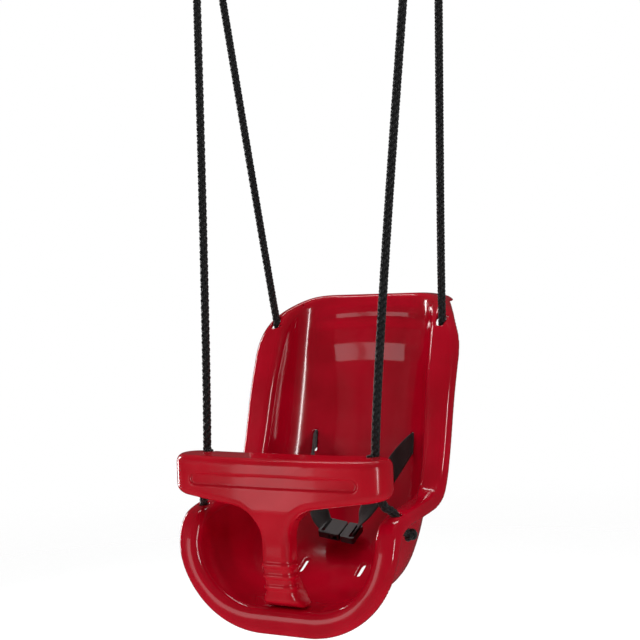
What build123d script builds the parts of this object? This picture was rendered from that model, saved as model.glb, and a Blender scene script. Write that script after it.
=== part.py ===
from build123d import *
from math import atan, cos, hypot, pi, radians, sin, tan
import os

# Toddler bucket swing, hung by four ropes from two steel rings.
# Millimetres. X runs across the seat, Y points from the child's knees to the backrest, Z is up.
# The origin is halfway between the centres of the two rings. Sizes on the seat are given from the
# middle of the ear level, the line through the two front rope holes, and moved by seat().

# ---- driving dimensions ----
RING_HALF_SPAN = 178.0  # half the distance between the two ring centres
RING_RADIUS = 30.0  # centre line of the ring's wire
WIRE_RADIUS = 4.0
EAR_DROP = 1032.0  # from the ring centres down to the ear level
EAR_AHEAD = 101.0  # the ears lie this far in front of the rings, so that the seat hangs level
EAR_HALF_SPAN = 135.6  # front rope holes
REAR_HOLE = (125.4, 189.0, 226.0)  # rope holes in the top corners, on the flange
WALL = 5.0  # seat shell
FLANGE = 33.0  # width of the rim's flange outside the bucket
LIP_DEPTH = 15.0  # turned edge of the flange
ROPE_RADIUS = 5.0
HOLE_RADIUS = 6.5  # rope holes in the seat and the bar
EYE_RADIUS = 12.0  # centre line of a rope's eye round its ring
EYE_SHIFT = 7.0  # the two eyes on a ring lie this far each side of its middle
SLEEVE_PITCH = 5.2  # half the distance between the two rope runs in a sleeve
SLEEVE_TOP = 34.0  # from the eye's centre down to the sleeve
SLEEVE_LENGTH = 28.0
ROPE_TAIL = 12.0  # free end below the sleeve
KNOT_RADIUS = 9.0
KNOT_GRIP = 5.0  # the rope enters its knot up to this far from the knot's middle
BAR_HALF_WIDTH = 147.0
BAR_WALL = 2.5
BAR_HOLES = ((125.0, -15.0, 12.0), (113.0, -17.0, 74.0))  # lower and upper end of a rope hole
BAR_TOP = 71.0
GROOVE_HEIGHT = 44.0  # middle of the long groove in the bar's front
GROOVE_SIZE = (230.0, 14.0)
RIB_LEVELS = (-57.0, -71.0, -85.0)  # three grip ribs on the stem
RIB_SIZE = (30.0, 6.0)
VENT_RADIUS = 3.0
BELT_WIDTH = 25.0
BELT_THICKNESS = 1.8
BELT_SLOT = (74.0, 58.0)  # half spacing and height of the two slots in the backrest
PAN_SLOT = (42.0, 92.0)  # half spacing and depth of the two slots in the pan
SLOT_WIDTH = 4.0
SLOT_LENGTH = 29.0
BACK_SLOPE = 0.22  # the backrest's lean where the strap passes through it
BELT_BACK_PLACE = 212.0  # the strap's stretch behind the backrest, at the slots' height
BUCKLE_PLACE = (0.0, 120.0, -50.0)
BUCKLE_TILT = 8.0  # the buckle hangs lower on its right side
BUCKLE_PITCH = 25.0  # and its rear edge is higher, along the slope of the pan

os.makedirs("parts", exist_ok=True)


def seat(x, y, z):
    """A point given from the middle of the ear level, in the frame of the whole swing."""
    return Vector(x, y - EAR_AHEAD, z - EAR_DROP)


def flat(points):
    """Side-view points (y, z) of the seat, in the frame of the whole swing."""
    return [(y - EAR_AHEAD, z - EAR_DROP) for y, z in points]


def save(part, label):
    part.label = label
    export_step(part, f"parts/{label}.step")


# ================= seat shell =================
# Side view of the rim, from the back's top edge over the ears to the front lip.
RIM = [
    (284, 264), (232, 256), (192, 229), (169, 182), (148, 128), (128, 62), (112, 24), (92, 9),
    (45, 4), (0, 0), (-28, -12), (-43, -48), (-47, -110), (-48, -154),
]
# Side view of the bucket's inside: a level floor, a round turn and a straight, leaning back.
FLOOR = -114.0
TURN_RADIUS = 206.0
LEAN = 12.4  # degrees
# The two side walls are planes, 119 apart from the middle at the ear level. They close in
# a little towards the backrest and upwards. The flange's outer edges run straight.
SIDE_HALF = 119.0
SIDE_SPREAD = (-0.015, -0.03)
STRAIGHT = (0.0, 0.0)
SIDE_CORNER = 46.0  # between the side walls and the floor or back
FLANGE_CORNER = 112.0  # the same on the flange's outer edge
BACK_TOP = 265.0
TOP_CORNER = 60.0  # radius of the back's top corners, seen from the front
OVER = 130.0  # how far the plain shapes run on past the rim before it trims them


def bucket(grow, spread=SIDE_SPREAD, corner=SIDE_CORNER):
    """The filled bucket, grown outwards by grow and standing on past the rim."""
    lean = radians(LEAN)
    axis = FLOOR + TURN_RADIUS
    radius = TURN_RADIUS + grow
    low = FLOOR - grow
    front, roof = -OVER, RIM[0][1] + OVER
    turn_end = (radius * cos(lean), axis - radius * sin(lean))
    turn_mid = (radius * sin(radians(50)), axis - radius * cos(radians(50)))
    top_y = turn_end[0] + (roof - turn_end[1]) * tan(lean)
    with BuildPart() as body:
        with BuildSketch(Plane.YZ):
            with BuildLine():
                Line(*flat([(front, low), (0, low)]))
                ThreePointArc(*flat([(0, low), turn_mid, turn_end]))
                Polyline(*flat([turn_end, (top_y, roof), (front, roof), (front, low)]))
            make_face()
        extrude(amount=200, both=True)
        for side in (-1, 1):
            out = Vector(side, -spread[0], -spread[1]).normalized()
            place = seat(side * SIDE_HALF, 0, 0) + out * grow
            split(bisect_by=Plane(place, z_dir=out), keep=Keep.BOTTOM)
        walls = body.faces().sort_by(Axis.X)
        edges = walls[0].edges() + walls[-1].edges()
        inner = [
            e for e in edges
            if (e @ 0.5).Y > front - EAR_AHEAD + 1 and (e @ 0.5).Z < roof - EAR_DROP - 1
        ]
        fillet(inner, corner + grow)
    return body.part


def rim_shifted(depth):
    """The rim's side view moved square to itself, away from the fan axis, by depth."""
    moved = []
    for i, (y, z) in enumerate(RIM):
        before, after = RIM[max(i - 1, 0)], RIM[min(i + 1, len(RIM) - 1)]
        dy, dz = after[0] - before[0], after[1] - before[1]
        length = hypot(dy, dz)
        moved.append((y - depth * dz / length, z + depth * dy / length))
    return moved


def behind_rim(depth):
    """Everything more than depth under the rim's surface, across the whole width."""
    far = flat([(-40, -420), (430, -420), (430, 300)])
    with BuildPart() as region:
        with BuildSketch(Plane.YZ):
            with BuildLine():
                edge = Spline(*flat(rim_shifted(depth)))
                Polyline(edge @ 1, *far, edge @ 0)
            make_face()
        extrude(amount=200, both=True)
    return region.part


def front_outline(shrink):
    """The seat's outline from the front, which rounds the back's top corners."""
    side, top, low = SIDE_HALF + FLANGE - shrink, BACK_TOP - shrink, -300
    with BuildPart() as outline:
        with BuildSketch(Plane.XZ.offset(500)):
            with Locations((0, (top + low) / 2 - EAR_DROP)):
                RectangleRounded(2 * side, top - low, TOP_CORNER - shrink)
        extrude(amount=-1000)
    return outline.part


def make_seat():
    rim_corner = FLANGE_CORNER - FLANGE
    rim = bucket(FLANGE, STRAIGHT, rim_corner) - behind_rim(LIP_DEPTH)
    hollow = bucket(FLANGE - WALL, STRAIGHT, rim_corner) & behind_rim(WALL)
    body = (rim & front_outline(0)) - (hollow & front_outline(WALL)) + bucket(WALL)
    with BuildPart() as shell:
        add((body - bucket(0)) & behind_rim(0))
        # front rope holes, down through the ears
        with Locations(*[Plane(seat(s * EAR_HALF_SPAN, 0, 0)) for s in (-1, 1)]):
            Cylinder(HOLE_RADIUS, 60, mode=Mode.SUBTRACT)
        # rear rope holes, along the ropes
        for side in (-1, 1):
            place = rear_hole(side)
            with Locations(Plane(place, z_dir=ring_point(side, 1) - place)):
                Cylinder(HOLE_RADIUS, 60, mode=Mode.SUBTRACT)
        # belt slots in the backrest and in the pan
        half, height = BELT_SLOT
        with Locations(*[Plane(seat(s * half, 205, height)) for s in (-1, 1)]):
            Box(SLOT_WIDTH, 60, SLOT_LENGTH, mode=Mode.SUBTRACT)
        half, depth = PAN_SLOT
        with Locations(*[Plane(seat(s * half, depth, -90)) for s in (-1, 1)]):
            Box(SLOT_WIDTH, 22, 60, mode=Mode.SUBTRACT)
    return shell.part


# ================= rings =================
def make_ring(side):
    """A welded steel ring in the plane across the swing, with the ropes' eyes on its lowest wire."""
    with BuildPart() as ring:
        with Locations(Plane((side * RING_HALF_SPAN, 0, 0), z_dir=(0, 1, 0))):
            Torus(RING_RADIUS, WIRE_RADIUS)
    return ring.part


# ================= ropes =================
def ring_point(side, inward):
    """Where a rope's eye turns on the ring's lowest wire; the front rope's eye is the inner one."""
    return Vector(side * (RING_HALF_SPAN + inward * EYE_SHIFT), 0, -RING_RADIUS)


def rear_hole(side):
    x, y, z = REAR_HOLE
    return seat(side * x, y, z)


def hanging_frame(bottom, top):
    """Direction up the rope and the direction across its eye, as close to Y as it can be."""
    along = (top - bottom).normalized()
    across = (Vector(0, 1, 0) - along * along.Y).normalized()
    along = (top - across * SLEEVE_PITCH - bottom).normalized()
    across = (Vector(0, 1, 0) - along * along.Y).normalized()
    return along, across


def eye_points(bottom, top):
    """Corners of the rope above bottom: up through the sleeve, round the wire and back down."""
    u, s = hanging_frame(bottom, top)
    return [
        top - u * SLEEVE_TOP - s * SLEEVE_PITCH,
        top - u * 4 - s * EYE_RADIUS,
        top + u * EYE_RADIUS - s * EYE_RADIUS,
        top + u * EYE_RADIUS + s * EYE_RADIUS,
        top - u * 4 + s * EYE_RADIUS,
        top - u * SLEEVE_TOP + s * SLEEVE_PITCH,
        top - u * (SLEEVE_TOP + SLEEVE_LENGTH + ROPE_TAIL) + s * SLEEVE_PITCH,
    ]


EYE_RADII = [40.0, 14.0, 11.95, 11.95, 14.0, 40.0]


def sweep_rope(points, radii):
    with BuildPart() as rope:
        with BuildLine() as path:
            FilletPolyline(*points, radius=radii)
        start = path.wire()
        with BuildSketch(Plane(start @ 0, z_dir=start % 0)):
            Circle(ROPE_RADIUS)
        sweep(path=start)
    print("rope", round(start.length), "volume share", round(
        rope.part.volume / (start.length * pi * ROPE_RADIUS**2), 4), "radii", radii)
    return rope.part


def front_route(side):
    """The front rope's corners: knot, ear, through the bar, and up to the ring."""
    knot = front_knot_place(side)
    under = seat(side * (EAR_HALF_SPAN + 0.6), 1, -15)
    return [
        knot + (under - knot).normalized() * KNOT_GRIP,
        under,
        seat(side * EAR_HALF_SPAN, 0, 4),
        seat(side * BAR_HOLES[0][0], *BAR_HOLES[0][1:]),
        seat(side * BAR_HOLES[1][0], *BAR_HOLES[1][1:]),
    ]


def make_front_rope(side):
    low = front_route(side)
    points = low + eye_points(low[-1], ring_point(side, -1))
    return sweep_rope(points, [7.0, 20.0, 14.0, 60.0] + EYE_RADII)


def rear_knot_place(side):
    return rear_hole(side) + Vector(-side, 8, -21)


def rear_route(side):
    """The rear rope's lower corners: its knot behind the flange, then just under the hole."""
    knot, hole = rear_knot_place(side), rear_hole(side)
    u, _ = hanging_frame(hole, ring_point(side, 1))
    under = hole - u * 4
    return [knot + (under - knot).normalized() * KNOT_GRIP, under]


def make_rear_rope(side):
    route = rear_route(side)
    points = route + eye_points(route[-1], ring_point(side, 1))
    return sweep_rope(points, [14.0] + EYE_RADII)


def make_sleeve(bottom, top):
    """A crimped plastic sleeve that holds the rope and its tail side by side."""
    u, s = hanging_frame(bottom, top)
    low = top - u * (SLEEVE_TOP + SLEEVE_LENGTH)
    with BuildPart() as sleeve:
        with BuildSketch(Plane(low, x_dir=s, z_dir=u)):
            SlotCenterToCenter(2 * SLEEVE_PITCH, 2 * ROPE_RADIUS + 2.6)
            with Locations((-SLEEVE_PITCH, 0), (SLEEVE_PITCH, 0)):
                Circle(ROPE_RADIUS + 0.1, mode=Mode.SUBTRACT)
        extrude(amount=SLEEVE_LENGTH - 3)
    return sleeve.part


def front_knot_place(side):
    return seat(side * 144, 20, -26)


def make_knot(place, way):
    """The stopper knot at a rope's lower end; the rope leaves it along way."""
    way = way.normalized()
    with BuildPart() as knot:
        with Locations(place):
            Sphere(KNOT_RADIUS)
        with BuildSketch(Plane(place + way * KNOT_GRIP, z_dir=way)):
            Circle(ROPE_RADIUS + 0.05)
        extrude(amount=KNOT_RADIUS, mode=Mode.SUBTRACT)
    return knot.part


# ================= T-bar =================
BAR_LOW = -112.8  # the stem's foot stands just above the pan
STEM_HALF_WIDTH = 20.0


def closed_outline(plane, corners, radii):
    """A face from a polygon with a radius at each corner."""
    with BuildSketch(plane) as outline:
        with BuildLine():
            FilletPolyline(*corners, radius=radii, close=True)
        make_face()
    return outline.sketch


def bar_profiles(shrink):
    """The T-bar's outlines from the front, from above and from the side, each shrunk."""
    w, s = BAR_HALF_WIDTH - shrink, shrink
    right = [(w, 25 + s), (60, 14 + s), (STEM_HALF_WIDTH - s, -14), (STEM_HALF_WIDTH - s, -84)]
    right.append((27 - s, BAR_LOW + s))
    left = [(-x, z) for x, z in reversed(right)]
    top = [(-w, BAR_TOP - s), (w, BAR_TOP - s)]
    front = [(x, z - EAR_DROP) for x, z in right + left + top]
    front_radii = [13 - s, 60, 34, 30, 5 - s, 5 - s, 30, 34, 60, 13 - s, 18 - s, 18 - s]
    above = [(w, -60 + s), (w, -4 - s), (0, -7 - s), (-w, -4 - s), (-w, -60 + s), (0, -65 + s)]
    above = [(x, y - EAR_AHEAD) for x, y in above]
    above_radii = [27 - s, 27 - s, 600, 27 - s, 27 - s, 600]
    beside = [(-67 + s, BAR_TOP - s), (-3 - s, BAR_TOP - s), (-3 - s, 14 + s), (-28 - s, -2),
              (-28 - s, -62), (-12 - s, -98), (-10 - s, BAR_LOW + s), (-43 + s, BAR_LOW + s),
              (-54 + s, -86), (-61 + s, -40), (-67 + s, 14)]
    beside_radii = [13 - s, 13 - s, 13 - s, 16, 24, 8, 3.5 - s, 6 - s, 30, 40, 40]
    return (
        closed_outline(Plane.XZ.offset(300), front, front_radii),
        closed_outline(Plane.XY.offset(-EAR_DROP - 150), above, above_radii),
        closed_outline(Plane.YZ.offset(-200), flat(beside), beside_radii),
    )


def bar_solid(shrink):
    front, above, beside = bar_profiles(shrink)
    with BuildPart() as body:
        extrude(front, amount=-500)
        extrude(above, amount=400, mode=Mode.INTERSECT)
        extrude(beside, amount=400, mode=Mode.INTERSECT)
    return body.part


def rope_run(side, radius, reach):
    """A straight cylinder along the rope's way through the bar, longer by reach at each end."""
    low, top = (seat(side * x, y, z) for x, y, z in BAR_HOLES)
    u = (top - low).normalized()
    with BuildPart() as run:
        with BuildSketch(Plane(low - u * reach, z_dir=u)):
            Circle(radius)
        extrude(amount=(top - low).length + 2 * reach)
    return run.part


def make_bar():
    whole = bar_solid(0)
    with BuildSketch(Plane.XZ.offset(300)) as slot:
        with Locations((0, GROOVE_HEIGHT - EAR_DROP)):
            SlotOverall(*GROOVE_SIZE)
    groove = extrude(slot.sketch, amount=-500) - groove_floor()
    with BuildPart() as bar:
        add(whole)
        add(bar_solid(BAR_WALL), mode=Mode.SUBTRACT)
        for side in (-1, 1):
            add(rope_run(side, HOLE_RADIUS + 3, 4) & whole)
            add(rope_run(side, HOLE_RADIUS, 20), mode=Mode.SUBTRACT)
        # long shallow groove in the front
        add(groove, mode=Mode.SUBTRACT)
        # three grip ribs on the stem
        for level in RIB_LEVELS:
            front = -55.5 + (level - RIB_LEVELS[1]) * -0.28
            with BuildSketch(Plane(seat(0, front + 2, level), x_dir=(1, 0, 0), z_dir=(0, -1, 0))):
                SlotOverall(*RIB_SIZE)
            extrude(amount=4.2)
        # vent left by the blow moulding, under the foot
        with Locations(Plane(seat(0, -26, BAR_LOW))):
            Cylinder(VENT_RADIUS, 12, mode=Mode.SUBTRACT)
    return bar.part


def groove_floor():
    """What the front groove leaves standing: everything deeper than 2 mm behind the bar's front."""
    pts = [(170, -56.5), (170, 40), (-170, 40), (-170, -56.5), (0, -62.5)]
    face = closed_outline(Plane.XY.offset(-EAR_DROP - 150), [(x, y - EAR_AHEAD) for x, y in pts],
                          [0, 0, 0, 0, 600])
    return extrude(face, amount=400)


# ================= lap belt and buckle =================
def buckle_plane():
    tilt, pitch = radians(BUCKLE_TILT), radians(BUCKLE_PITCH)
    along = Vector(cos(tilt), 0, -sin(tilt))
    across = Vector(0, cos(pitch), sin(pitch))
    return Plane(seat(*BUCKLE_PLACE), x_dir=along, z_dir=along.cross(across))


def web(stations):
    """Webbing through stations, each a centre, a way along and a way across the strap."""
    with BuildPart() as strap:
        for centre, along, across in stations:
            with BuildSketch(Plane(centre, x_dir=across, z_dir=along)):
                Rectangle(BELT_WIDTH, BELT_THICKNESS)
        loft(ruled=True)
    return strap.part


def make_belt(side):
    """One half of the lap belt, from behind the backrest to the buckle, twisting on its way."""
    b = buckle_plane()
    half, height = BELT_SLOT
    end = b.origin + b.x_dir * side * 27
    up = Vector(0, BACK_SLOPE, 1)
    route = [
        seat(side * half, BELT_BACK_PLACE - BELT_THICKNESS / 2 / cos(atan(BACK_SLOPE)) - 0.02, height),
        seat(side * half, 198, height + 1),
        seat(side * (half - 4), 174, height - 28),
        seat(side * (half - 22), 142, height - 82),
        end + b.x_dir * side * 10,
        end,
    ]
    through = Vector(0, -1, BACK_SLOPE)
    way = [through, through]
    way += [route[i + 1] - route[i - 1] for i in range(2, len(route) - 1)]
    way.append(b.x_dir * -side)
    stations = []
    for i, (place, along) in enumerate(zip(route, way)):
        share = max(0, min(1, (i - 1) / 3))
        across = up * (1 - share) + Vector(*b.y_dir) * share
        along = along.normalized()
        across = (across - along * across.dot(along)).normalized()
        stations.append((place, along, across))
    return web(stations)


def make_back_belt():
    """The strap's stretch behind the backrest, between the two slots."""
    half, height = BELT_SLOT
    with BuildPart() as strap:
        with Locations(Plane(seat(0, BELT_BACK_PLACE, height), x_dir=(1, 0, 0), z_dir=(0, BACK_SLOPE, 1))):
            Box(2 * half + BELT_THICKNESS, BELT_THICKNESS, BELT_WIDTH)
    return strap.part


def make_socket():
    """The buckle's female half: a flat housing, open to the right, with a window each side."""
    with BuildPart() as socket:
        with BuildSketch(buckle_plane().offset(-5)):
            with Locations((-11, 0)):
                RectangleRounded(32, 32, 4)
        extrude(amount=10)
        chamfer(socket.edges().filter_by(GeomType.LINE, reverse=True), 0.8)
        with BuildSketch(buckle_plane().offset(-3)):
            with Locations((-3, 0)):
                Rectangle(18, 27)
        extrude(amount=6, mode=Mode.SUBTRACT)
        with BuildSketch(buckle_plane().offset(-3)):
            with Locations((-4, 0)):
                Rectangle(12, 40)
        extrude(amount=6, mode=Mode.SUBTRACT)
        # slot that the webbing is sewn through
        with BuildSketch(buckle_plane().offset(-6)):
            with Locations((-20, 0)):
                SlotOverall(26.5, 4.5, rotation=90)
        extrude(amount=12, mode=Mode.SUBTRACT)
    return socket.part


def make_plug():
    """The male half: a shoulder with a webbing bar and a guide tongue."""
    with BuildPart() as plug:
        with BuildSketch(buckle_plane().offset(-4.5)):
            with Locations((16, 0)):
                RectangleRounded(20, 32, 3)
        extrude(amount=9)
        with BuildSketch(buckle_plane().offset(-2)):
            with Locations((0.5, 0)):
                Rectangle(14, 5)
        extrude(amount=4)
        with BuildSketch(buckle_plane().offset(-6)):
            with Locations((20, 0)):
                SlotOverall(26.5, 4.5, rotation=90)
        extrude(amount=12, mode=Mode.SUBTRACT)
        # seats of the two latch arms
        with BuildSketch(buckle_plane().offset(-2.5)):
            with Locations((6, -9), (6, 9)):
                Rectangle(7, 5)
        extrude(amount=5, mode=Mode.SUBTRACT)
    return plug.part


def make_latch(side):
    """A springy latch arm, whose head fills a window of the socket and is pressed inwards."""
    with BuildPart() as arm:
        with BuildSketch(buckle_plane().offset(-2)):
            with Locations((1.2, side * 9)):
                Rectangle(12.5, 3)
            with Locations((-6.5, side * 12)):
                RectangleRounded(6, 7, 1.5)
            with Locations((-6.5, side * 9.6)):
                Rectangle(6, 4.2)
        extrude(amount=4)
    return arm.part


# ================= build and save =================
def main():
    save(make_seat(), "seat_shell")
    save(make_bar(), "t_bar")
    for side, hand in ((-1, "left"), (1, "right")):
        save(make_ring(side), f"ring_{hand}")
        save(make_front_rope(side), f"front_rope_{hand}")
        save(make_rear_rope(side), f"rear_rope_{hand}")
        front_low = front_route(side)[-1]
        save(make_sleeve(front_low, ring_point(side, -1)), f"front_sleeve_{hand}")
        save(make_sleeve(rear_hole(side), ring_point(side, 1)), f"rear_sleeve_{hand}")
        route = front_route(side)
        save(make_knot(front_knot_place(side), route[1] - route[0]), f"front_knot_{hand}")
        route = rear_route(side)
        save(make_knot(rear_knot_place(side), route[1] - route[0]), f"rear_knot_{hand}")
        save(make_belt(side), f"belt_{hand}")
    save(make_back_belt(), "belt_back")
    save(make_socket(), "buckle_socket")
    save(make_plug(), "buckle_plug")
    save(make_latch(-1), "buckle_latch_front")
    save(make_latch(1), "buckle_latch_rear")



main()
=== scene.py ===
import math

import bpy
import numpy as np
from mathutils import Matrix, Vector


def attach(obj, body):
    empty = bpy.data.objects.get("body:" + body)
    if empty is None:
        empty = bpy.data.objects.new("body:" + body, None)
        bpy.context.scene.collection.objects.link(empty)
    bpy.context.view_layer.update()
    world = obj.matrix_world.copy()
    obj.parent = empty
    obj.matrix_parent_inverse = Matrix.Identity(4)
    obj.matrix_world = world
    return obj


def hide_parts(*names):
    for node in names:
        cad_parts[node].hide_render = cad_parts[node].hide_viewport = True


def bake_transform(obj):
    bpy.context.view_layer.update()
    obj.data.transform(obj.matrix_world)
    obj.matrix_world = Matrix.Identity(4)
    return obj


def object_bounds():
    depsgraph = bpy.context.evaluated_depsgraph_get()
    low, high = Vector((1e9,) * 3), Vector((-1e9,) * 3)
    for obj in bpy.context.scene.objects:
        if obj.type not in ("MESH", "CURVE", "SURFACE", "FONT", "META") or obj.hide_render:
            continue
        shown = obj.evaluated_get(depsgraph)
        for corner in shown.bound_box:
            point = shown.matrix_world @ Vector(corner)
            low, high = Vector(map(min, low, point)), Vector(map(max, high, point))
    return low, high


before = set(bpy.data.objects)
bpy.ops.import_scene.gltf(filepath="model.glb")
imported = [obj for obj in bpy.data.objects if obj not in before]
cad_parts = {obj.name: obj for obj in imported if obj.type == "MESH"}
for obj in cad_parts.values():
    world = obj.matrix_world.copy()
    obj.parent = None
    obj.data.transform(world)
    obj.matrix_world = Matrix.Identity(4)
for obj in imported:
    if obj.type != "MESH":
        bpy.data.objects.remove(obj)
CAD_BOUNDS = [list(corner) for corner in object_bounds()]

# Shapes are worked out in millimetres from the middle of the ear level, the line through the two
# front rope holes: x across the seat, y towards the backrest, z up. seat() moves them into the frame.
MM = 0.001
EAR_DROP = 1032.0
EAR_AHEAD = 101.0
RING_HALF_SPAN = 178.0
RING_RADIUS = 30.0
EAR_HALF_SPAN = 135.6
REAR_HOLE = (125.4, 189.0, 226.0)
BAR_HOLES = ((125.0, -15.0, 12.0), (113.0, -17.0, 74.0))
HOLE_RADIUS = 6.5  # of the rope holes in the seat
BELT_SLOT = (74.0, 58.0)  # half spacing and height of the backrest's two slots
BACK_SLOPE = 0.22  # the backrest's lean where the strap passes through it


def seat(x, y, z):
    """A point given from the middle of the ear level, in the row frame, in metres."""
    return Vector((x, y - EAR_AHEAD, z - EAR_DROP)) * MM


# ================= camera =================
def make_camera():
    """The camera stands in front of the seat, a little to its right and above it."""
    back = Vector((0.46284, -0.88582, 0.03319))
    right = Vector((0.88626, 0.46166, -0.03763))
    up = back.cross(right)
    place = seat(740.7, -1334.4, 284.9)
    data = bpy.data.cameras.new("camera")
    data.lens = 69.58
    data.sensor_width = 36.0
    camera = bpy.data.objects.new("camera", data)
    axes = Matrix((right, up, back)).transposed().to_4x4()
    camera.matrix_world = Matrix.Translation(place) @ axes
    bpy.context.scene.collection.objects.link(camera)
    bpy.context.scene.camera = camera


# ================= materials =================
def new_material(name, **values):
    material = bpy.data.materials.new(name)
    material.use_nodes = True
    shader = material.node_tree.nodes["Principled BSDF"]
    for socket, value in values.items():
        shader.inputs[socket.replace("_", " ")].default_value = value
    return material, material.node_tree, shader


def add_node(tree, kind, inputs=None, **settings):
    node = tree.nodes.new(kind)
    for key, value in settings.items():
        setattr(node, key, value)
    for key, value in (inputs or {}).items():
        if isinstance(value, bpy.types.NodeSocket):
            tree.links.new(value, node.inputs[key])
        else:
            node.inputs[key].default_value = value
    return node


def noise(tree, coordinates, scale, detail=3.0):
    return add_node(tree, "ShaderNodeTexNoise", {"Vector": coordinates, "Scale": scale, "Detail": detail})


def ramp(tree, factor, stops):
    node = add_node(tree, "ShaderNodeValToRGB", {"Fac": factor})
    elements = node.color_ramp.elements
    for element, (place, colour) in zip(elements, stops):
        element.position = place
        element.color = (*colour, 1.0)
    return node.outputs["Color"]


def grey(value):
    return (value, value, value)


def object_space(tree):
    return tree.nodes.new("ShaderNodeTexCoord").outputs["Object"]


def plastic(name, dark, light, rough, coat, orange_peel):
    """Moulded plastic: cloudy colour, uneven gloss and a fine orange peel on a slow waviness."""
    material, tree, shader = new_material(
        name, Coat_Weight=coat, Coat_Roughness=0.05, IOR=1.5, Specular_IOR_Level=0.55
    )
    where = object_space(tree)
    cloud = noise(tree, where, 14.0, 4.0).outputs["Fac"]
    colour = ramp(tree, cloud, [(0.35, dark), (0.7, light)])
    tree.links.new(colour, shader.inputs["Base Color"])
    smear = noise(tree, where, 45.0, 5.0).outputs["Fac"]
    rough_range = [(0.3, grey(rough * 0.85)), (0.75, grey(rough * 1.25))]
    tree.links.new(ramp(tree, smear, rough_range), shader.inputs["Roughness"])
    peel = noise(tree, where, 260.0, 2.0).outputs["Fac"]
    bump = add_node(tree, "ShaderNodeBump", {"Strength": orange_peel, "Distance": 0.0004, "Height": peel})
    wave = noise(tree, where, 30.0, 1.0).outputs["Fac"]
    slow = add_node(
        tree, "ShaderNodeBump",
        {"Strength": orange_peel, "Distance": 0.0012, "Height": wave, "Normal": bump.outputs["Normal"]},
    )
    tree.links.new(slow.outputs["Normal"], shader.inputs["Normal"])
    return material


def rope_fibre():
    """Black polypropylene: fine filaments with lighter, worn tops."""
    material, tree, shader = new_material("rope_fibre", Sheen_Weight=0.25, Sheen_Roughness=0.4)
    where = object_space(tree)
    fine = noise(tree, where, 1400.0, 4.0).outputs["Fac"]
    colour = ramp(tree, fine, [(0.35, (0.003, 0.003, 0.003)), (0.8, (0.018, 0.018, 0.019))])
    tree.links.new(colour, shader.inputs["Base Color"])
    gloss = noise(tree, where, 600.0, 2.0).outputs["Fac"]
    tree.links.new(ramp(tree, gloss, [(0.3, grey(0.32)), (0.7, grey(0.55))]), shader.inputs["Roughness"])
    bump = add_node(tree, "ShaderNodeBump", {"Strength": 0.5, "Distance": 0.0003, "Height": fine})
    tree.links.new(bump.outputs["Normal"], shader.inputs["Normal"])
    return material


def webbing():
    """Black woven strap: twill ribs across its width, from the strap's own UV map."""
    material, tree, shader = new_material("webbing", Sheen_Weight=0.3, Sheen_Roughness=0.5)
    where = tree.nodes.new("ShaderNodeTexCoord").outputs["UV"]
    across = add_node(
        tree, "ShaderNodeTexWave", {"Vector": where, "Scale": 0.5, "Distortion": 0.6},
        wave_type="BANDS", bands_direction="DIAGONAL",
    )
    rows = add_node(
        tree, "ShaderNodeTexWave", {"Vector": where, "Scale": 0.62, "Distortion": 0.4},
        wave_type="BANDS", bands_direction="Y",
    )
    weave = add_node(
        tree, "ShaderNodeMath", {0: across.outputs["Fac"], 1: rows.outputs["Fac"]}, operation="MULTIPLY"
    )
    blacks = [(0.0, (0.002, 0.002, 0.002)), (0.8, (0.012, 0.012, 0.013))]
    colour = ramp(tree, weave.outputs["Value"], blacks)
    tree.links.new(colour, shader.inputs["Base Color"])
    rough = noise(tree, where, 3.0).outputs["Fac"]
    tree.links.new(ramp(tree, rough, [(0.3, grey(0.5)), (0.8, grey(0.75))]), shader.inputs["Roughness"])
    bump = add_node(
        tree, "ShaderNodeBump", {"Strength": 0.7, "Distance": 0.0006, "Height": weave.outputs["Value"]}
    )
    tree.links.new(bump.outputs["Normal"], shader.inputs["Normal"])
    return material


def steel():
    """Zinc-plated steel: fine grain and a patchy tarnish."""
    material, tree, shader = new_material("zinc_steel", Metallic=1.0)
    where = object_space(tree)
    patch = noise(tree, where, 90.0, 5.0).outputs["Fac"]
    colour = ramp(tree, patch, [(0.3, (0.42, 0.43, 0.45)), (0.7, (0.68, 0.69, 0.70))])
    tree.links.new(colour, shader.inputs["Base Color"])
    grain = noise(tree, where, 900.0, 3.0).outputs["Fac"]
    tree.links.new(ramp(tree, grain, [(0.3, grey(0.22)), (0.7, grey(0.42))]), shader.inputs["Roughness"])
    bump = add_node(tree, "ShaderNodeBump", {"Strength": 0.25, "Distance": 0.0002, "Height": grain})
    tree.links.new(bump.outputs["Normal"], shader.inputs["Normal"])
    return material


def paint(thing, material):
    thing.data.materials.clear()
    thing.data.materials.append(material)


# ================= ropes =================
SLEEVE_PITCH = 5.2
EYE_RADIUS = 12.0
EYE_SHIFT = 7.0  # the two eyes lie this far each side of the ring's lowest point
EYE_NECK = 4.0
SLEEVE_TOP = 34.0
TAIL_END = 74.0  # from the eye's centre down to the rope's free end
KNOT_GRIP = 5.0
STRANDS = 8  # half of them wind one way and half the other
PLAIT_PITCH = 0.036
PLAIT_RADIUS = 0.0030
STRAND_RADIUS = 0.0020
PLAIT_DEPTH = 0.0016
PLAIT_STEP = 0.0016
CORE_SHARE = 0.9  # the plait's core fills this much of the strands' middle radius
KNOT_LOOP = (0.00175, 0.00175, 0.0032)
KNOT_CORE = 0.0030
KNOT_STRANDS = 5
KNOT_TURNS = 6
KNOT_STRAND_PLACE = 0.0024
KNOT_STRAND_RADIUS = 0.0015


def ring_point(side, inward):
    """Where a rope's eye turns on the ring's lowest wire; the front rope's eye is the inner one."""
    return Vector((side * (RING_HALF_SPAN + inward * EYE_SHIFT), 0, -RING_RADIUS)) * MM


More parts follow.
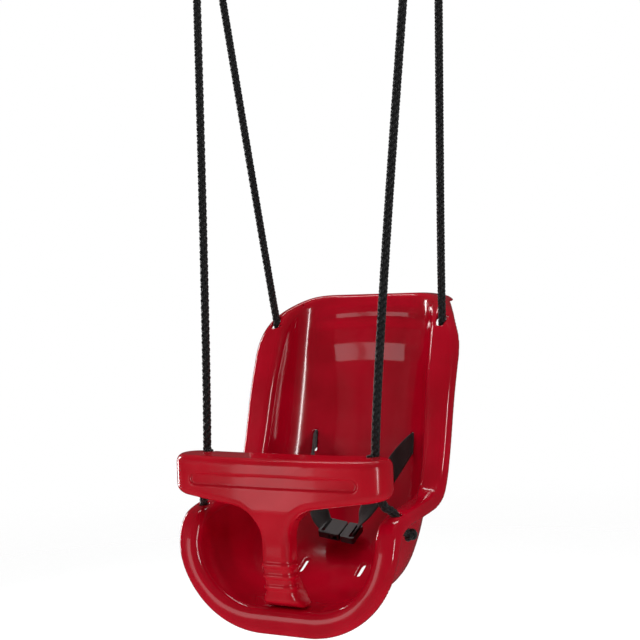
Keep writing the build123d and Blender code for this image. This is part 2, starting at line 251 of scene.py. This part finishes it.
def eye_route(bottom, top):
    """The rope above bottom: up through its sleeve, round the ring's wire and back down."""
    along = (top - bottom).normalized()
    across = (Vector((0, 1, 0)) - along * along.y).normalized()
    along = (top - across * SLEEVE_PITCH * MM - bottom).normalized()
    across = (Vector((0, 1, 0)) - along * along.y).normalized()
    corners = (
        (-SLEEVE_TOP, -SLEEVE_PITCH), (-EYE_NECK, -EYE_RADIUS), (EYE_RADIUS, -EYE_RADIUS),
        (EYE_RADIUS, EYE_RADIUS), (-EYE_NECK, EYE_RADIUS), (-SLEEVE_TOP, SLEEVE_PITCH),
        (-TAIL_END, SLEEVE_PITCH),
    )
    return [top + (along * u + across * s) * MM for u, s in corners]


def nurbs(points):
    """The route's smooth line, read back as points."""
    data = bpy.data.curves.new("route", "CURVE")
    data.dimensions = "3D"
    data.resolution_u = 24
    spline = data.splines.new("NURBS")
    spline.points.add(len(points) - 1)
    for knot, point in zip(spline.points, points):
        knot.co = (*point, 1.0)
    spline.order_u = 3
    spline.use_endpoint_u = True
    carrier = bpy.data.objects.new("route", data)
    bpy.context.scene.collection.objects.link(carrier)
    mesh = bpy.data.meshes.new_from_object(carrier)
    line = np.array([vertex.co for vertex in mesh.vertices], float)
    bpy.data.objects.remove(carrier)
    bpy.data.curves.remove(data)
    bpy.data.meshes.remove(mesh)
    return line


def along_line(line, step):
    """Evenly spaced points on a line, with their distances from its start."""
    runs = np.linalg.norm(np.diff(line, axis=0), axis=1)
    reach = np.concatenate(([0.0], np.cumsum(runs)))
    places = np.linspace(0, reach[-1], max(8, int(reach[-1] / step)))
    points = np.stack([np.interp(places, reach, line[:, axis]) for axis in range(3)], axis=1)
    return points, places


def carried_frames(points):
    """A normal and a binormal at each point, carried along the line without twist."""
    tangents = np.gradient(points, axis=0)
    tangents /= np.linalg.norm(tangents, axis=1)[:, None]
    normal = np.cross(tangents[0], (0.0, 1.0, 0.0))
    normals = []
    for tangent in tangents:
        normal = normal - tangent * (normal @ tangent)
        normal /= np.linalg.norm(normal)
        normals.append(normal)
    normals = np.array(normals)
    return normals, np.cross(tangents, normals)


def tube(points, radius, sides, closed=False):
    """Vertices and faces of a tube round a line; an open tube has a fan over each end."""
    normals, binormals = carried_frames(points)
    turn = np.arange(sides) * math.tau / sides
    sideways, upwards = np.cos(turn)[None, :, None], np.sin(turn)[None, :, None]
    ring = sideways * normals[:, None] + upwards * binormals[:, None]
    radii = np.broadcast_to(radius, (len(points),))
    vertices = (points[:, None] + ring * radii[:, None, None]).reshape(-1, 3)
    count = len(points)
    faces = []
    for i in range(count - (0 if closed else 1)):
        for k in range(sides):
            a, b = i * sides, (i + 1) % count * sides
            m = (k + 1) % sides
            faces.append((a + k, a + m, b + m, b + k))
    if not closed:
        faces.append(tuple(reversed(range(sides))))
        faces.append(tuple((count - 1) * sides + k for k in range(sides)))
    return vertices, faces


def mesh_object(name, vertices, faces, material, smooth=True):
    mesh = bpy.data.meshes.new(name)
    mesh.from_pydata([tuple(v) for v in vertices], [], faces)
    mesh.update()
    if smooth:
        mesh.shade_smooth()
    thing = bpy.data.objects.new(name, mesh)
    bpy.context.scene.collection.objects.link(thing)
    paint(thing, material)
    return thing


def joined(parts):
    """One list of vertices and faces from several."""
    vertices, faces, start = [], [], 0
    for some, their_faces in parts:
        vertices.append(some)
        faces += [tuple(start + i for i in face) for face in their_faces]
        start += len(some)
    return np.concatenate(vertices), faces


def plaited(line):
    """A round plait on a line: strands wind both ways and pass over and under each other."""
    points, places = along_line(line, PLAIT_STEP)
    normals, binormals = carried_frames(points)
    parts = [tube(points, PLAIT_RADIUS * CORE_SHARE, 10)]
    half = STRANDS // 2
    for k in range(STRANDS):
        way = 1 if k < half else -1
        start = (k % half) * math.tau / half
        angle = start + way * places * math.tau / PLAIT_PITCH
        weave = np.cos(half * places * math.tau / PLAIT_PITCH + (0 if way > 0 else math.pi))
        radius = PLAIT_RADIUS + PLAIT_DEPTH * weave * 0.5
        strand = points + (np.cos(angle) * radius)[:, None] * normals
        strand = strand + (np.sin(angle) * radius)[:, None] * binormals
        parts.append(tube(strand, STRAND_RADIUS, 7))
    return joined(parts)


def rope_piece(name, points, material):
    line = nurbs(points)
    vertices, faces = plaited(line)
    rope = mesh_object(name, vertices, faces, material)
    length = float(np.linalg.norm(np.diff(line, axis=0), axis=1).sum())
    return rope, line, length


def front_knot_place(side):
    return seat(side * 144, 20, -26)


def rear_knot_place(side):
    return seat(side * (REAR_HOLE[0] - 1), REAR_HOLE[1] + 8, REAR_HOLE[2] - 21)


def make_front_rope(side, hand, material):
    """The front rope in two pieces that meet inside the T-bar."""
    knot = front_knot_place(side)
    under = seat(side * (EAR_HALF_SPAN + 0.6), 1, -15)
    low = seat(side * BAR_HOLES[0][0], *BAR_HOLES[0][1:])
    top = seat(side * BAR_HOLES[1][0], *BAR_HOLES[1][1:])
    middle = (low + top) / 2
    start = knot + (under - knot).normalized() * KNOT_GRIP * MM
    lower_points = [start, under, seat(side * EAR_HALF_SPAN, 0, 4), low, middle, top]
    lower, line, length = rope_piece(f"front_rope_{hand}_lower", lower_points, material)
    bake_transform(lower)
    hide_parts(f"front_rope_{hand}")
    upper_points = [middle, top] + eye_route(top, ring_point(side, -1))
    upper, line, length = rope_piece(f"front_rope_{hand}_upper", upper_points, material)
    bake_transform(upper)
    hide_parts(f"front_rope_{hand}")


def make_rear_rope(side, hand, material):
    hole, knot = seat(side * REAR_HOLE[0], *REAR_HOLE[1:]), rear_knot_place(side)
    ring = ring_point(side, 1)
    under = hole - (ring - hole).normalized() * 4 * MM
    start = knot + (under - knot).normalized() * KNOT_GRIP * MM
    points = [start, under] + eye_route(under, ring)
    rope, line, length = rope_piece(f"rear_rope_{hand}_plait", points, material)
    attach(rope, "seat")
    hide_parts(f"rear_rope_{hand}")


def make_knot(name, place, node, turn, material):
    """A stopper knot: rope wound into a tight trefoil, seen as fat overlapping turns."""
    t = np.linspace(0, math.tau, 90, endpoint=False)
    loop = np.stack(
        [np.sin(t) + 2 * np.sin(2 * t), np.cos(t) - 2 * np.cos(2 * t), -np.sin(3 * t)], axis=1
    ) * np.array(KNOT_LOOP)
    spin = np.array(Matrix.Rotation(turn, 3, "Y") @ Matrix.Rotation(0.6 + turn, 3, "X"))
    points = loop @ spin.T + np.array(place)
    normals, binormals = carried_frames(points)
    parts = [tube(points, KNOT_CORE, 10, closed=True)]
    for k in range(KNOT_STRANDS):
        angle = k * math.tau / KNOT_STRANDS + KNOT_TURNS * t
        around = np.cos(angle)[:, None] * normals + np.sin(angle)[:, None] * binormals
        strand = points + KNOT_STRAND_PLACE * around
        parts.append(tube(strand, KNOT_STRAND_RADIUS, 7, closed=True))
    knot = mesh_object(name, *joined(parts), material)
    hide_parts(node)
    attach(knot, "seat")


# ================= shells from distance fields =================
SURFACE_ROUNDS = 5  # steps in which a net's points are moved onto the surface
LEAST_SLOPE = 0.2
RELAX_ROUNDS = 4
RELAX_STEPS = (0.5, -0.52)


def rounded_max(a, b, radius):
    """The larger of two distances, with the edge between them rounded."""
    u, v = np.maximum(a + radius, 0), np.maximum(b + radius, 0)
    return np.minimum(np.maximum(a, b), -radius) + np.hypot(u, v)


def rounded_min(a, b, radius):
    return -rounded_max(-a, -b, radius)


def smooth_step(value, start, end):
    t = np.clip((value - start) / (end - start), 0, 1)
    return t * t * (3 - 2 * t)


def beside_line(x, y, z, start, end):
    """How far points are from the line through start and end, and how far along it."""
    start, end = np.array(start), np.array(end)
    way = (end - start) / np.linalg.norm(end - start)
    dx, dy, dz = x - start[0], y - start[1], z - start[2]
    reach = dx * way[0] + dy * way[1] + dz * way[2]
    return np.sqrt(np.maximum(dx**2 + dy**2 + dz**2 - reach**2, 0)), reach


def slot_distance(u, v, half_length, half_width):
    """Distance from a slot with round ends that runs along v."""
    return np.hypot(u, np.maximum(np.abs(v) - half_length, 0)) - half_width


def gradient(field, points, reach=0.05):
    parts = []
    for axis in range(3):
        offset = np.zeros(3)
        offset[axis] = reach
        parts.append((field(*(points + offset).T) - field(*(points - offset).T)) / (2 * reach))
    return np.stack(parts, axis=1)


def surface_net(field, low, high, step):
    """A quad mesh of field = 0: one vertex in each crossed cell, then moved onto the surface."""
    axes = [np.arange(a, b + step, step) for a, b in zip(low, high)]
    shape = tuple(len(a) for a in axes)
    values = np.empty(shape, np.float32)
    for i, x in enumerate(axes[0]):
        y, z = np.meshgrid(axes[1], axes[2], indexing="ij")
        values[i] = field(np.full(y.shape, x), y, z)
    inside = values < 0
    cells = np.zeros(tuple(n - 1 for n in shape), np.int8)
    for dx in (0, 1):
        for dy in (0, 1):
            for dz in (0, 1):
                cells += inside[dx:shape[0] - 1 + dx, dy:shape[1] - 1 + dy, dz:shape[2] - 1 + dz]
    crossed = (cells > 0) & (cells < 8)
    index = np.full(crossed.shape, -1, np.int64)
    index[crossed] = np.arange(crossed.sum())
    corner = np.argwhere(crossed)
    total = np.zeros((len(corner), 3))
    count = np.zeros(len(corner))
    for axis in range(3):
        others = [a for a in range(3) if a != axis]
        for p in (0, 1):
            for q in (0, 1):
                first = corner.copy()
                first[:, others[0]] += p
                first[:, others[1]] += q
                second = first.copy()
                second[:, axis] += 1
                a = values[tuple(first.T)].astype(float)
                b = values[tuple(second.T)].astype(float)
                hit = (a < 0) != (b < 0)
                share = np.where(hit, a / np.where(hit, a - b, 1), 0)
                place = first.astype(float)
                place[:, axis] += share
                total[hit] += place[hit]
                count[hit] += 1
    vertices = np.array(low) + total / count[:, None] * step
    for _ in range(SURFACE_ROUNDS):
        slope = gradient(field, vertices)
        size = np.maximum((slope ** 2).sum(1), LEAST_SLOPE)
        move = slope * (field(*vertices.T) / size)[:, None]
        length = np.linalg.norm(move, axis=1)
        vertices -= move * np.minimum(1, 0.5 * step / np.maximum(length, 1e-9))[:, None]
    faces = []
    for axis in range(3):
        a, b = [k for k in range(3) if k != axis]
        front = [slice(1, -1)] * 3
        front[axis] = slice(0, -1)
        behind = list(front)
        behind[axis] = slice(1, None)
        flip = inside[tuple(front)] != inside[tuple(behind)]
        edge = np.argwhere(flip)
        edge[:, a] += 1
        edge[:, b] += 1
        outward = inside[tuple(edge.T)] == (axis != 1)
        ring = []
        for p, q in ((1, 1), (0, 1), (0, 0), (1, 0)):
            cell = edge.copy()
            cell[:, a] -= p
            cell[:, b] -= q
            ring.append(index[tuple(cell.T)])
        quads = np.stack(ring, axis=1)
        quads[~outward] = quads[~outward][:, ::-1]
        faces.append(quads)
    return vertices, np.concatenate(faces)


def relax(mesh):
    """Even out a net's small steps: points go towards their neighbours' mean, then a little back."""
    count = len(mesh.vertices)
    points = np.empty(count * 3, np.float32)
    mesh.vertices.foreach_get("co", points)
    points = points.reshape(count, 3).astype(float)
    edges = np.empty(len(mesh.edges) * 2, np.int32)
    mesh.edges.foreach_get("vertices", edges)
    one, other = np.concatenate((edges[::2], edges[1::2])), np.concatenate((edges[1::2], edges[::2]))
    share = np.maximum(np.bincount(one, minlength=count), 1)
    for amount in RELAX_STEPS * RELAX_ROUNDS:
        mean = [np.bincount(one, points[other, k], count) / share for k in range(3)]
        points += amount * (np.stack(mean, axis=1) - points)
    mesh.vertices.foreach_set("co", points.astype(np.float32).ravel())
    mesh.update()


def field_object(name, field, low, high, step, material):
    """A closed smooth mesh of field = 0 within the box from low to high, in the row frame."""
    vertices, faces = surface_net(field, low, high, step)
    vertices = (vertices + np.array((0, -EAR_AHEAD, -EAR_DROP))) * MM
    mesh = bpy.data.meshes.new(name)
    mesh.vertices.add(len(vertices))
    mesh.vertices.foreach_set("co", vertices.astype(np.float32).ravel())
    mesh.loops.add(faces.size)
    mesh.loops.foreach_set("vertex_index", faces.astype(np.int32).ravel())
    mesh.polygons.add(len(faces))
    mesh.polygons.foreach_set("loop_start", np.arange(0, faces.size, 4, dtype=np.int32))
    mesh.polygons.foreach_set("loop_total", np.full(len(faces), 4, np.int32))
    mesh.update(calc_edges=True)
    mesh.validate()
    relax(mesh)
    mesh.shade_smooth()
    thing = bpy.data.objects.new(name, mesh)
    bpy.context.scene.collection.objects.link(thing)
    paint(thing, material)
    return thing


# ---- seat ----
AXIS = 92.0  # the floor's turn into the backrest is about this height
TURN_RADIUS = 206.0
LEAN = math.radians(12.4)
WALL = 4.6
SIDE_HALF = 119.0
SIDE_CLOSING = (0.015, 0.03)  # the side walls close in backwards and upwards by these slopes
FRONT_CORNER = 84.0  # between the side walls and the floor, at the front
CORNER_LOSS = 42.0  # what that corner's radius loses on its way back
BOLSTER = 30.0  # what it gains along the turn into the backrest
BOLSTER_LOSS = 16.0  # and loses again towards the backrest's top
FLANGE = 33.0
FLANGE_CORNER = 120.0
FLANGE_CORNER_LOSS = 37.0
SEAT_HALF = 152.0
LIP = 14.0  # depth of the flange's turned edge
BACK_TOP = 264.0
BACK_END = 288.0
TOP_CORNER = 85.0
PLAN_CORNER = 60.0
CROWN = 6.0  # four times the height of the crown between the two edges of the flange
INNER_EDGE = 10.0  # edge radii: bucket to flange, flange to its turned edge, then the cut edges
OUTER_EDGE = 9.0
LIP_EDGE = 1.6
SLOT_EDGE = 1.2
HOLE_EDGE = 1.5
SLOT_HALF_WIDTH = 2.4
BELT_SLOT_RUN = 12.5
PAN_SLOT = (42.0, 92.0)  # half spacing and depth of the pan's two slots
PAN_SLOT_RUN = 9.0
RIM = [
    (284, 258), (258, 262), (232, 256), (192, 229), (169, 182), (148, 128), (128, 62), (112, 24),
    (92, 9), (45, 4), (0, 0), (-28, -12), (-43, -48), (-47, -110), (-48, -154),
]


def smooth_line(points, per_span):
    """A Catmull-Rom line through points."""
    points = np.array(points, float)
    padded = np.concatenate(([2 * points[0] - points[1]], points, [2 * points[-1] - points[-2]]))
    t = np.linspace(0, 1, per_span, endpoint=False)[:, None]
    spans = []
    for a, b, c, d in zip(padded, padded[1:], padded[2:], padded[3:]):
        spans.append(0.5 * (2 * b + (c - a) * t + (2 * a - 5 * b + 4 * c - d) * t**2
                            + (3 * b - a - 3 * c + d) * t**3))
    return np.concatenate(spans + [points[-1:]])


RIM_LINE = smooth_line(RIM, 10)


def under_rim(y, z):
    """Signed distance from the rim's side view: positive behind and below it."""
    start, run = RIM_LINE[:-1], np.diff(RIM_LINE, axis=0)
    flat = np.stack([np.ravel(y), np.ravel(z)], axis=1)
    result = np.empty(len(flat))
    for first in range(0, len(flat), 20000):
        some = flat[first:first + 20000]
        offset = some[:, None] - start
        share = np.clip((offset * run).sum(2) / (run ** 2).sum(1), 0, 1)
        apart = offset - share[:, :, None] * run
        distance = np.hypot(apart[:, :, 0], apart[:, :, 1])
        near = distance.argmin(1)
        row = np.arange(len(some))
        way = run[near]
        lever = way[:, 0] * offset[row, near, 1] - way[:, 1] * offset[row, near, 0]
        result[first:first + 20000] = distance[row, near] * np.sign(lever)
    return result.reshape(np.shape(y))


TABLE_Y, TABLE_Z = np.arange(-80, 330, 1.0), np.arange(-190, 300, 1.0)


def rim_table():
    """The rim distance on a 1 mm grid, a little smoothed, for quick reading between its points."""
    y, z = np.meshgrid(TABLE_Y, TABLE_Z, indexing="ij")
    table = under_rim(y, z)
    for _ in range(2):
        inner = table[1:-1, 1:-1] * 4
        inner += table[:-2, 1:-1] + table[2:, 1:-1] + table[1:-1, :-2] + table[1:-1, 2:]
        table[1:-1, 1:-1] = inner / 8
    return table


RIM_TABLE = rim_table()


def rim_distance(y, z):
    u = np.clip(y - TABLE_Y[0], 0, len(TABLE_Y) - 1.01)
    v = np.clip(z - TABLE_Z[0], 0, len(TABLE_Z) - 1.01)
    i, j = u.astype(int), v.astype(int)
    u, v = u - i, v - j
    low = RIM_TABLE[i, j] * (1 - u) + RIM_TABLE[i + 1, j] * u
    high = RIM_TABLE[i, j + 1] * (1 - u) + RIM_TABLE[i + 1, j + 1] * u
    return low * (1 - v) + high * v


def headrest(x, z):
    """How far the headrest's moulded pillow stands out of the backrest."""
    level = z + 0.0009 * x**2
    pillow = 5.0 * smooth_step(level, 166, 198) * (1 - smooth_step(level, 214, 232))
    pad = 2.0 * smooth_step(level, 228, 237) * (1 - smooth_step(level, 243, 254))
    return (pillow + pad) * (1 - smooth_step(x, 62, 92))


def seat_field(x, y, z):
    """The seat shell: a bucket with rounded corners, open at its rim, and a flange round the rim."""
    x = np.abs(x)
    angle = np.clip(np.arctan2(y, AXIS - z), 0, math.pi / 2 - LEAN)
    turned = angle / (math.pi / 2 - LEAN)
    profile = y * np.sin(angle) + (AXIS - z) * np.cos(angle) - TURN_RADIUS
    side = x - (SIDE_HALF - SIDE_CLOSING[0] * y - SIDE_CLOSING[1] * z)
    corner = FRONT_CORNER - CORNER_LOSS * smooth_step(y, -30, 90)
    corner = corner + BOLSTER * turned - BOLSTER_LOSS * smooth_step(z, 80, 230)
    inner = rounded_max(profile, side, corner)
    inner = inner + headrest(x, z) * smooth_step(y, 120, 160)
    outer = rounded_max(profile - FLANGE, x - SEAT_HALF, FLANGE_CORNER - FLANGE_CORNER_LOSS * turned)
    outer = np.maximum(outer, rounded_max(x - SEAT_HALF, z - BACK_TOP, TOP_CORNER))
    outer = np.maximum(outer, rounded_max(x - SEAT_HALF, y - BACK_END, PLAN_CORNER))
    rim = rim_distance(y, z)
    share = np.clip(inner / np.maximum(inner - outer, 1), 0, 1)
    rim = rim + CROWN * share * (1 - share)
    block = -rounded_max(rounded_max(-inner, -rim, INNER_EDGE), outer, OUTER_EDGE)
    shell = np.abs(block - WALL / 2) - WALL / 2
    shell = rounded_max(shell, np.minimum(rim - LIP, inner - WALL - 3), LIP_EDGE)
    slot = slot_distance(x - BELT_SLOT[0], z - BELT_SLOT[1], BELT_SLOT_RUN, SLOT_HALF_WIDTH)
    shell = rounded_max(shell, -np.maximum(slot, 150 - y), SLOT_EDGE)
    pan_slot = slot_distance(x - PAN_SLOT[0], y - PAN_SLOT[1], PAN_SLOT_RUN, SLOT_HALF_WIDTH)
    shell = rounded_max(shell, -np.maximum(pan_slot, z + 40), SLOT_EDGE)
    ear_hole = np.hypot(x - EAR_HALF_SPAN, y) - HOLE_RADIUS
    shell = rounded_max(shell, -np.maximum(ear_hole, np.abs(z) - 40), HOLE_EDGE)
    eye = np.array((RING_HALF_SPAN + EYE_SHIFT, EAR_AHEAD, EAR_DROP - RING_RADIUS))
    apart, reach = beside_line(x, y, z, REAR_HOLE, eye)
    return rounded_max(shell, -np.maximum(apart - HOLE_RADIUS, np.abs(reach) - 25), HOLE_EDGE)


def make_seat(material):
    step = 2.2
    low, high = (-158.3, -58.7, -154.9), (158.3, 288.3, 270.3)
    shell = field_object("moulded_seat", seat_field, low, high, step, material)
    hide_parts("seat_shell")
    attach(shell, "seat")


# ---- T-bar ----
BAR_HALF = 147.0
BAR_TOP = 71.5
BAR_FOOT = -112.8
BAR_SWELL = 1.5  # the bar's top rises this much towards its ends
BAR_EDGE = 12.0  # edge radii: along the bar, at the stem, at the ends and all round the front
STEM_BLEND = 34.0
END_CORNER = 27.0
FRONT_EDGE = 10.0
STEM_HALF = 19.5
FOOT_FLARE = 7.5
RIB_LEVELS = (-57.0, -71.0, -85.0)
RIB_HALF = 2.9
RIB_HEIGHT = 2.2
GROOVE = (107.0, 44.0, 7.0, 2.4)  # half length, height, half width and depth of the front groove
GROOVE_EDGE = 1.8
BAR_HOLE_RADIUS = 6.4
VENT = (-26.0, 3.0)  # place and radius of the vent under the foot


def bar_field(x, y, z):
    """The T-bar: a bar and a stem cut from one plate with a curved front, then rounded all over."""
    x = np.abs(x)
    under = 5 + 0.14 * x - z
    top = z - BAR_TOP - BAR_SWELL * (x / BAR_HALF) ** 2
    bar = rounded_max(rounded_max(x - BAR_HALF - 3, top, BAR_EDGE), under, BAR_EDGE)
    half = STEM_HALF + FOOT_FLARE * smooth_step(z, -86, -112)
    stem = np.maximum(x - half, z - 40)
    outline = rounded_min(bar, stem, STEM_BLEND)
    outline = rounded_max(outline, BAR_FOOT - z, 4)
    front = -65.5 + 0.00028 * x**2 + 5.5 * smooth_step(z, 12, -36) + 7 * smooth_step(z, -45, -100)
    front = front + 12 * smooth_step(z, -99, -113)
    rear = -6 - 22 * smooth_step(z, 16, -6) + 16 * smooth_step(z, -62, -98)
    depth = rounded_max(x - BAR_HALF, np.maximum(front - y, y - rear), END_CORNER)
    body = rounded_max(outline, depth, FRONT_EDGE)
    ribs = sum(np.exp(-((z - level) / RIB_HALF) ** 4) for level in RIB_LEVELS)
    body = body - RIB_HEIGHT * ribs * (1 - smooth_step(y, -42, -34)) * (1 - smooth_step(x, 26, 31))
    half_length, height, half_width, deep = GROOVE
    groove = slot_distance(z - height, x, half_length, half_width)
    body = rounded_max(body, -np.maximum(groove, y - front - deep), GROOVE_EDGE)
    apart, _ = beside_line(x, y, z, *BAR_HOLES)
    body = rounded_max(body, BAR_HOLE_RADIUS - apart, HOLE_EDGE)
    vent = np.hypot(x, y - VENT[0]) - VENT[1]
    return rounded_max(body, -np.maximum(vent, z + 104), 0.8)


def make_bar(material):
    step = 1.6
    low, high = (-152.3, -72.7, -118.9), (152.3, 2.3, 80.3)
    bar = field_object("moulded_t_bar", bar_field, low, high, step, material)
    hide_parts("t_bar")
    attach(bar, "t_bar")


# ================= lap belt =================
BELT_WIDTH = 25.0
BELT_THICKNESS = 1.6
BELT_BACK_PLACE = 212.0
BUCKLE_TILT = math.radians(8)
BUCKLE_PITCH = math.radians(25)
BUCKLE_PLACE = (0.0, 120.0, -50.0)
BUCKLE_HALF = 20.0  # the straps end this far from the buckle's middle
STRAP_EDGE = 0.55  # thickness of the strap's selvedge, as a share of its middle


def buckle_axes():
    along = Vector((math.cos(BUCKLE_TILT), 0, -math.sin(BUCKLE_TILT)))
    across = Vector((0, math.cos(BUCKLE_PITCH), math.sin(BUCKLE_PITCH)))
    normal = along.cross(across).normalized()
    return along, normal.cross(along)


def ribbon(name, route, ways, widths, node, material):
    """Webbing along a smooth line; its flat side turns as the given width directions do."""
    count = 60
    t = np.linspace(0, len(route) - 1, count)
    line = smooth_line([tuple(p) for p in route], 20)
    keys = np.linspace(0, len(route) - 1, len(line))
    points = np.stack([np.interp(t, keys, line[:, k]) for k in range(3)], axis=1)
    blend = [np.interp(t, range(len(widths)), [w[k] for w in widths]) for k in range(3)]
    across = np.stack(blend, axis=1)
    along = np.gradient(points, axis=0)
    along[0], along[-1] = ways[0], ways[-1]
    along /= np.linalg.norm(along, axis=1)[:, None]
    across -= along * (across * along).sum(1)[:, None]
    across /= np.linalg.norm(across, axis=1)[:, None]
    normal = np.cross(along, across)
    half, thick = BELT_WIDTH / 2 * MM, BELT_THICKNESS / 2 * MM
    section = []
    lanes = np.linspace(-1, 1, 9)
    for face, order in ((thick, lanes), (-thick, lanes[::-1])):
        for lane in order:
            section.append((lane * half, face * (STRAP_EDGE if abs(lane) > 0.99 else 1.0)))
    size = len(section)
    vertices = np.concatenate([
        [points[i] + across[i] * u + normal[i] * v for u, v in section] for i in range(count)
    ])
    faces = []
    for i in range(count - 1):
        for k in range(size):
            m = (k + 1) % size
            faces.append((i * size + k, i * size + m, (i + 1) * size + m, (i + 1) * size + k))
    faces.append(tuple(reversed(range(size))))
    faces.append(tuple((count - 1) * size + k for k in range(size)))
    belt = mesh_object(name, vertices, faces, material)
    reach = np.concatenate(([0], np.cumsum(np.linalg.norm(np.diff(points, axis=0), axis=1))))
    layer = belt.data.uv_layers.new(name="weave")
    for polygon in belt.data.polygons:
        for loop in polygon.loop_indices:
            vertex = belt.data.loops[loop].vertex_index
            layer.data[loop].uv = (section[vertex % size][0] / MM, reach[vertex // size] / MM)
    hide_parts(node)
    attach(belt, "seat")


def make_belts(material):
    """One strap through the backrest's slots: two loose halves that turn on their way down."""
    along, across = buckle_axes()
    middle = seat(*BUCKLE_PLACE)
    half, height = BELT_SLOT
    up = Vector((0, BACK_SLOPE, 1)).normalized()
    for side, hand in ((-1, "left"), (1, "right")):
        route = [
            seat(side * half, BELT_BACK_PLACE - 1, height), seat(side * half, 197, height + 1),
            seat(side * 67, 172, 43), seat(side * 51, 143, 9), seat(side * 33, 124, -28),
            middle + along * side * BUCKLE_HALF * MM,
        ]
        ways = [Vector((0, -1, BACK_SLOPE)), route[-1] - route[-2]]
        turned = Vector((-side * 0.25, 0.25, 0.93))
        widths = [up, up, up * 0.6 + turned * 0.4, turned, turned * 0.6 + across * 0.4, across]
        ribbon(f"lap_strap_{hand}", route, ways, widths, f"belt_{hand}", material)
    back = [seat(x, BELT_BACK_PLACE, height) for x in (-74.8, -30, 30, 74.8)]
    sideways = Vector((1, 0, 0))
    ribbon("lap_strap_back", back, [sideways, sideways], [up] * 4, "belt_back", material)


# ================= stage =================
FLOOR_RADIUS = 3.2
FLOOR_DROP = 0.35  # the floor lies this far under the hanging seat
DAYLIGHT = 0.26
ROOM_IN_REFLECTIONS = 0.05


def make_stage():
    """A pale round floor that fades into the white behind it."""
    material, tree, shader = new_material("floor", Roughness=0.9, Emission_Strength=0.62)
    shader.inputs["Emission Color"].default_value = (1, 1, 1, 1)
    where = object_space(tree)
    patch = noise(tree, where, 2.0).outputs["Fac"]
    pale = [(0.0, (0.86, 0.86, 0.86)), (1.0, (0.9, 0.9, 0.9))]
    tree.links.new(ramp(tree, patch, pale), shader.inputs["Base Color"])
    away = add_node(tree, "ShaderNodeVectorMath", {0: where}, operation="LENGTH").outputs["Value"]
    fade = add_node(
        tree, "ShaderNodeMapRange",
        {"Value": away, "From Min": 0.35, "From Max": FLOOR_RADIUS, "To Min": 1.0, "To Max": 0.0},
        interpolation_type="SMOOTHSTEP",
    )
    tree.links.new(fade.outputs["Result"], shader.inputs["Alpha"])
    turn = np.arange(64) * math.tau / 64
    rim = [(FLOOR_RADIUS * math.cos(a), FLOOR_RADIUS * math.sin(a), 0) for a in turn]
    floor = mesh_object("floor", rim, [tuple(range(64))], material, smooth=False)
    floor.location.z = CAD_BOUNDS[0][2] - FLOOR_DROP
    floor.visible_glossy = False


def make_world():
    """White behind the object, soft daylight on it and a dark room in its reflections."""
    world = bpy.data.worlds.new("studio")
    bpy.context.scene.world = world
    world.use_nodes = True
    tree = world.node_tree
    background = tree.nodes["Background"]
    path = tree.nodes.new("ShaderNodeLightPath").outputs
    mirrored = add_node(
        tree, "ShaderNodeMapRange",
        {"Value": path["Is Glossy Ray"], "To Min": DAYLIGHT, "To Max": ROOM_IN_REFLECTIONS},
    ).outputs["Result"]
    strength = add_node(
        tree, "ShaderNodeMath", {0: path["Is Camera Ray"], 1: mirrored}, operation="MAXIMUM"
    )
    background.inputs["Color"].default_value = (1, 1, 1, 1)
    tree.links.new(strength.outputs["Value"], background.inputs["Strength"])


def add_softbox(name, place, target, width, height, power, mirrored=True):
    data = bpy.data.lights.new(name, "AREA")
    data.shape = "RECTANGLE"
    data.size, data.size_y = width, height
    data.energy = power
    light = bpy.data.objects.new(name, data)
    light.location = place
    light.visible_glossy = mirrored
    light.rotation_mode = "QUATERNION"
    light.rotation_quaternion = (Vector(target) - Vector(place)).to_track_quat("-Z", "Y")
    bpy.context.scene.collection.objects.link(light)


def make_lights():
    """Two soft boxes for the light itself, and four narrow ones that also show in the gloss."""
    middle = seat(0, 90, 40)
    add_softbox("key", middle + Vector((-1.5, -1.6, 0.5)), middle, 1.2, 1.2, 13, mirrored=False)
    add_softbox("top", middle + Vector((0.1, 0.1, 1.6)), middle, 1.4, 1.0, 12, mirrored=False)
    add_softbox("front_strip", middle + Vector((-1.05, -2.0, 0.0)), middle, 0.5, 1.0, 1.8)
    add_softbox("right_strip", middle + Vector((1.9, -1.0, 0.3)), middle, 0.12, 1.3, 9)
    add_softbox("left_strip", middle + Vector((-1.6, 0.3, 0.2)), middle, 0.14, 1.3, 9)
    add_softbox("high_strip", middle + Vector((-0.3, 0.5, 1.5)), middle, 1.2, 0.12, 4)
    bpy.context.scene.view_settings.view_transform = "Standard"


# ================= all of it =================
make_camera()
rope_black = rope_fibre()
for hand_side, hand_name in ((-1, "left"), (1, "right")):
    make_front_rope(hand_side, hand_name, rope_black)
    make_rear_rope(hand_side, hand_name, rope_black)
    make_knot(f"stopper_front_{hand_name}", front_knot_place(hand_side), f"front_knot_{hand_name}",
              0.3 * hand_side, rope_black)
    make_knot(f"stopper_rear_{hand_name}", rear_knot_place(hand_side), f"rear_knot_{hand_name}",
              0.9 * hand_side, rope_black)
make_seat(plastic("red_shell", (0.40, 0.0002, 0.010), (0.52, 0.0006, 0.016), 0.14, 0.5, 0.05))
make_bar(plastic("red_bar", (0.44, 0.0006, 0.010), (0.54, 0.001, 0.014), 0.2, 0.35, 0.03))
make_belts(webbing())
black = plastic("black_plastic", (0.005, 0.005, 0.005), (0.012, 0.012, 0.012), 0.34, 0.0, 0.2)
zinc = steel()
for node_name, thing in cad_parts.items():
    if node_name.startswith("ring_"):
        paint(thing, zinc)
    elif not thing.hide_render:
        paint(thing, black)
make_stage()
make_world()
make_lights()
